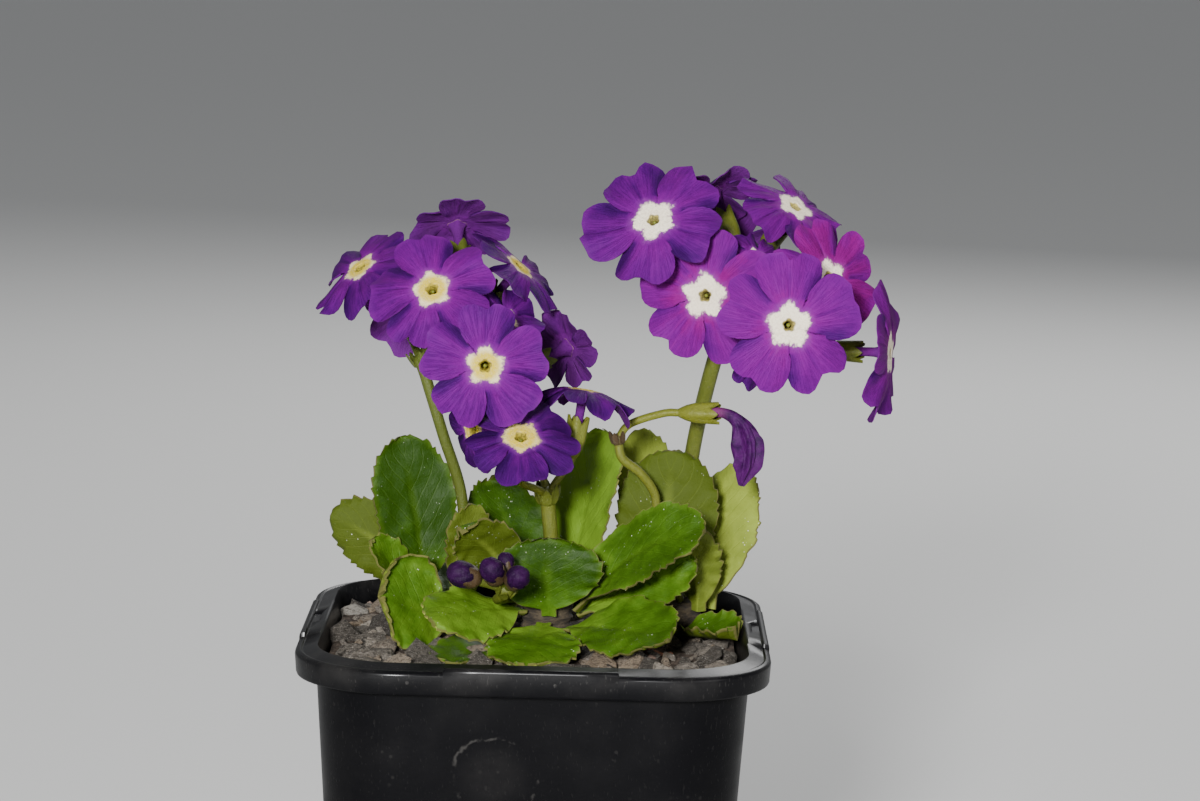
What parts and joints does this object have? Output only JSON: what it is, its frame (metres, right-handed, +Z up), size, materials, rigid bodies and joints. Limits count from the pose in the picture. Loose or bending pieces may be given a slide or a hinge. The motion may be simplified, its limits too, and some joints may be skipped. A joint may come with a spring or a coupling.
{
  "type": "potted auricula",
  "caption": "Auricula in a square nursery pot: thick toothed leaves, violet flowers with pale eyes on upright stems, gritty compost.",
  "frame": {"origin": "centre of the flat underside of the pot, on the surface it stands on", "axes": "+Z up, -Y the front that faces the viewer, +X to the viewer's right; the pot's sides lie along X and Y"},
  "size_m": [0.1152, 0.09, 0.1885],
  "materials": {
    "pot_plastic": "black plastic, semi-gloss, dusty along the rim",
    "gritty_compost": "dry gritty compost with grey-brown flakes of stone and bark",
    "rootstock_bark": "rough brown bark",
    "leaf_green": "thick green leaf, slightly waxy, with a pale margin",
    "stem_green": "yellow-green stem with a pale mealy bloom",
    "petal_magenta": "magenta-violet petals, fine veins, white mealy eye",
    "petal_violet": "violet petals, fine veins, pale yellow mealy eye",
    "bud_violet": "deep violet"
  },
  "bodies": {
    "root": {"bud_left": "bud_violet", "bud_middle": "bud_violet", "bud_rear": "bud_violet", "bud_right": "bud_violet", "bud_stem": "stem_green", "compost": "gritty_compost", "flower_left_between": "petal_violet", "flower_left_crown": "petal_violet", "flower_left_high": "petal_violet", "flower_left_main": "petal_violet", "flower_left_outer": "petal_violet", "flower_left_rear": "petal_violet", "flower_left_side": "petal_violet", "flower_left_upper": "petal_violet", "flower_middle_front": "petal_violet", "flower_middle_low": "petal_violet", "flower_middle_side": "petal_violet", "flower_right_crown": "petal_magenta", "flower_right_hidden": "petal_magenta", "flower_right_inner": "petal_magenta", "flower_right_low": "petal_magenta", "flower_right_main": "petal_magenta", "flower_right_outer": "petal_magenta", "flower_right_rear": "petal_magenta", "flower_right_shoulder": "petal_magenta", "flower_right_top": "petal_magenta", "flower_right_upper": "petal_magenta", "flower_spent": "bud_violet", "leaf_centre": "leaf_green", "leaf_centre_tall": "leaf_green", "leaf_curled_up": "leaf_green", "leaf_front": "leaf_green", "leaf_front_left": "leaf_green", "leaf_front_right": "leaf_green", "leaf_left_inner": "leaf_green", "leaf_left_low": "leaf_green", "leaf_left_pale": "leaf_green", "leaf_left_small": "leaf_green", "leaf_left_upright": "leaf_green", "leaf_lowest": "leaf_green", "leaf_middle_back": "leaf_green", "leaf_rear_centre": "leaf_green", "leaf_rear_left": "leaf_green", "leaf_rear_right": "leaf_green", "leaf_right_back": "leaf_green", "leaf_right_broad": "leaf_green", "leaf_right_dark": "leaf_green", "leaf_right_pale": "leaf_green", "leaf_right_rolled": "leaf_green", "leaf_right_round": "leaf_green", "leaf_right_small": "leaf_green", "left_umbel_stem": "stem_green", "middle_umbel_stem": "stem_green", "pot": "pot_plastic", "right_umbel_stem": "stem_green", "rootstock": "rootstock_bark", "spent_flower_stem": "stem_green"}
  },
  "joints": []
}
